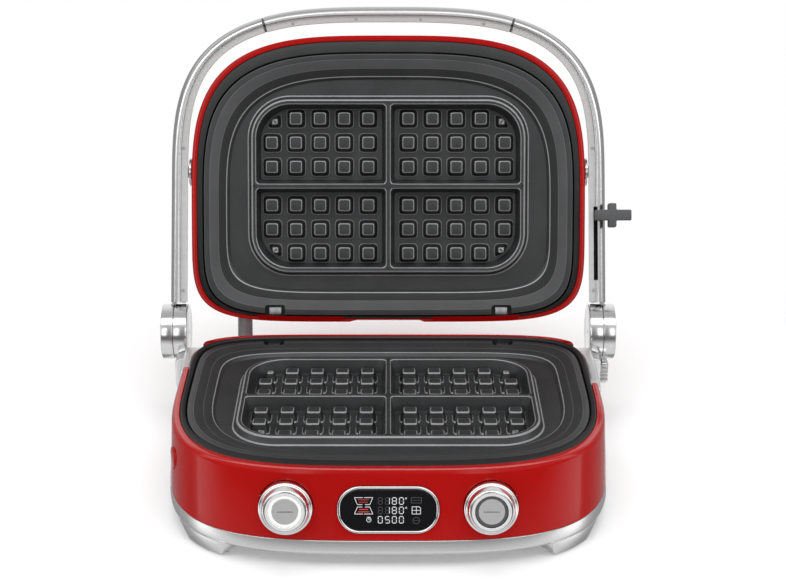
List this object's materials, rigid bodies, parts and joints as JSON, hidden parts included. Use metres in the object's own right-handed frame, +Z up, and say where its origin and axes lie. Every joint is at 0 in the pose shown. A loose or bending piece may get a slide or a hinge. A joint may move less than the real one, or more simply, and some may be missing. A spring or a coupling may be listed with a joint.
{
  "type": "contact grill",
  "caption": "Countertop contact grill with waffle plates, a floating lid carried by a handle hoop on two hinge drums, control knobs and a display.",
  "frame": {"origin": "under the middle of the overall box with the lid open, at the level of the foot pads", "axes": "+X to the right seen from the control panel, +Y to the back, +Z up"},
  "size_m": [0.3936, 0.3946, 0.328],
  "materials": {
    "red_paint": "gloss",
    "satin_silver": "satin",
    "tube_metal": "satin",
    "chrome": "polished",
    "nonstick_coating": "matt non-stick",
    "frame_coating": "satin",
    "dark_plastic": "matt",
    "rubber": "matt",
    "display_glass": "gloss",
    "steel": "satin",
    "circuit_board": "matt",
    "braided_sleeve": "braided",
    "button_metal": "satin",
    "light_ring_lit": "translucent",
    "light_ring_dark": "translucent"
  },
  "bodies": {
    "base": {"base_pan": "satin_silver", "base_shell": "red_paint", "base_surround": "frame_coating", "hinge_arm_left": "satin_silver", "hinge_arm_right": "satin_silver", "hinge_pin_left": "steel", "hinge_pin_right": "steel", "hinge_spring_left": "steel", "hinge_spring_right": "steel", "lower_clip_left": "steel", "lower_clip_right": "steel", "lower_heating_element": "steel", "lower_heat_shield": "steel", "lower_plate_sensor": "steel", "power_board": "circuit_board", "control_board": "circuit_board", "cord_gland": "dark_plastic", "display_bezel": "chrome", "display_window": "display_glass", "light_ring_left": "light_ring_lit", "light_ring_right": "light_ring_dark", "encoder_left": "dark_plastic", "encoder_right": "dark_plastic", "power_conduit": "braided_sleeve", "foot_pad_front_left": "rubber", "foot_pad_front_right": "rubber", "foot_pad_rear_left": "rubber", "foot_pad_rear_right": "rubber"},
    "handle": {"handle_leg_left": "tube_metal", "handle_leg_right": "tube_metal", "handle_cover_left": "tube_metal", "handle_cover_right": "tube_metal", "handle_seam_left": "dark_plastic", "handle_seam_right": "dark_plastic", "handle_grip": "tube_metal", "handle_cover_top": "tube_metal", "hinge_hub_left": "satin_silver", "hinge_hub_right": "satin_silver", "pivot_pin_left": "steel", "pivot_pin_right": "steel"},
    "lid": {"lid_shell": "red_paint", "lid_frame": "frame_coating", "upper_clip_left": "steel", "upper_clip_right": "steel", "upper_heating_element": "steel", "upper_heat_shield": "steel", "upper_plate_sensor": "steel", "pivot_boss_left": "chrome", "pivot_boss_right": "chrome"},
    "lower_plate": {"lower_plate": "nonstick_coating"},
    "upper_plate": {"upper_plate": "nonstick_coating"},
    "height_lever": {"height_lever": "dark_plastic"},
    "knob_left": {"knob_left": "satin_silver"},
    "knob_right": {"knob_right": "satin_silver"},
    "push_button_left": {"push_button_left": "button_metal"},
    "push_button_right": {"push_button_right": "button_metal"},
    "lower_release_button": {"lower_release_button": "red_paint"},
    "upper_release_button": {"upper_release_button": "red_paint"},
    "hinge_release_slide": {"hinge_release_slide": "satin_silver"},
    "drip_tray": {"drip_tray": "dark_plastic"}
  },
  "joints": [
    {"name": "handle_hinge", "type": "hinge", "parent": "base", "child": "handle", "pos_m": [-0.00705, 0.07202, 0.0746], "axis": [-1, 0, 0], "range_deg": [-107.7, 71.4], "deforming": ["power_conduit"]},
    {"name": "lid_tilt", "type": "hinge", "parent": "handle", "child": "lid", "pos_m": [-0.00705, 0.12744, 0.19792], "axis": [1, 0, 0], "range_deg": [0, 8], "deforming": ["power_conduit"]},
    {"name": "height_lever_slide", "type": "slide", "parent": "handle", "child": "height_lever", "axis": [0, -0.4099, -0.9121], "range_m": [0, 0.048]},
    {"name": "knob_left_turn", "type": "hinge", "parent": "base", "child": "knob_left", "pos_m": [-0.08005, -0.1849, 0.0474], "axis": [0, -0.9849, 0.1729], "continuous": true},
    {"name": "knob_right_turn", "type": "hinge", "parent": "base", "child": "knob_right", "pos_m": [0.06595, -0.1849, 0.0474], "axis": [0, -0.9849, 0.1729], "continuous": true},
    {"name": "push_button_left_press", "type": "slide", "parent": "base", "child": "push_button_left", "axis": [0, 0.9849, -0.1729], "range_m": [0, 0.0015], "stiffness_N_per_m": 600},
    {"name": "push_button_right_press", "type": "slide", "parent": "base", "child": "push_button_right", "axis": [0, 0.9849, -0.1729], "range_m": [0, 0.0015], "stiffness_N_per_m": 600},
    {"name": "lower_release_press", "type": "slide", "parent": "base", "child": "lower_release_button", "axis": [0.9613, 0.2754, 0], "range_m": [0, 0.002], "stiffness_N_per_m": 800},
    {"name": "upper_release_press", "type": "slide", "parent": "lid", "child": "upper_release_button", "axis": [1, 0, 0], "range_m": [0, 0.002], "stiffness_N_per_m": 800},
    {"name": "hinge_release_pull", "type": "slide", "parent": "base", "child": "hinge_release_slide", "axis": [0, -1, 0], "range_m": [0, 0.005], "stiffness_N_per_m": 500},
    {"name": "lower_plate_lift", "type": "slide", "parent": "base", "child": "lower_plate", "axis": [0, 0, 1], "range_m": [0, 0.04]},
    {"name": "upper_plate_lift", "type": "slide", "parent": "lid", "child": "upper_plate", "axis": [0, -0.9527, 0.304], "range_m": [0, 0.04]},
    {"name": "drip_tray_slide", "type": "slide", "parent": "base", "child": "drip_tray", "axis": [0, -1, 0], "range_m": [-0.08, 0]}
  ]
}
